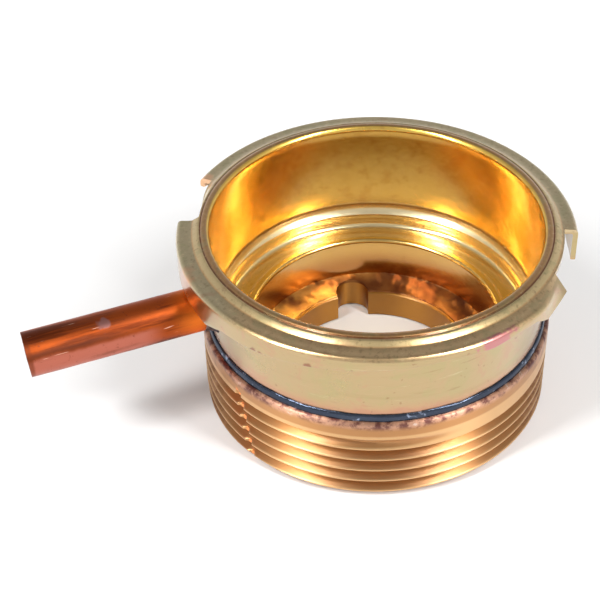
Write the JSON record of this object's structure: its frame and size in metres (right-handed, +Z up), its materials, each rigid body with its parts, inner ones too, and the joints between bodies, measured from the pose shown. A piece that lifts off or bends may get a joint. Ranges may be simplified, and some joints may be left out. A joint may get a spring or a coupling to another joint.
{
  "type": "radiator filler neck",
  "caption": "Brass filler neck with a bayonet cam rim, a pressed valve seat, a copper overflow tube and an externally threaded base ring.",
  "frame": {"origin": "centre of the base ring's underside, on the neck's axis", "axes": "+Z up the neck's axis to its mouth, -Y the front, the overflow tube leaves towards -X and -Y"},
  "size_m": [0.0755, 0.0556, 0.0287],
  "materials": {
    "neck_brass": "dull, oxidised outside and lacquered gold inside",
    "seat_brass": "smooth lacquered gold",
    "ring_brass": "machined, heat-tinted orange",
    "copper": "copper, handled and lightly oxidised",
    "grey_solder": "dull soft solder",
    "dark_solder": "glossy dark solder and flux",
    "brown_solder": "burnt flux over solder"
  },
  "bodies": {
    "root": {"neck_shell": "neck_brass", "valve_seat": "seat_brass", "base_ring": "ring_brass", "overflow_tube": "copper", "tube_solder": "grey_solder", "seam_solder": "dark_solder", "ledge_solder": "brown_solder"}
  },
  "joints": []
}
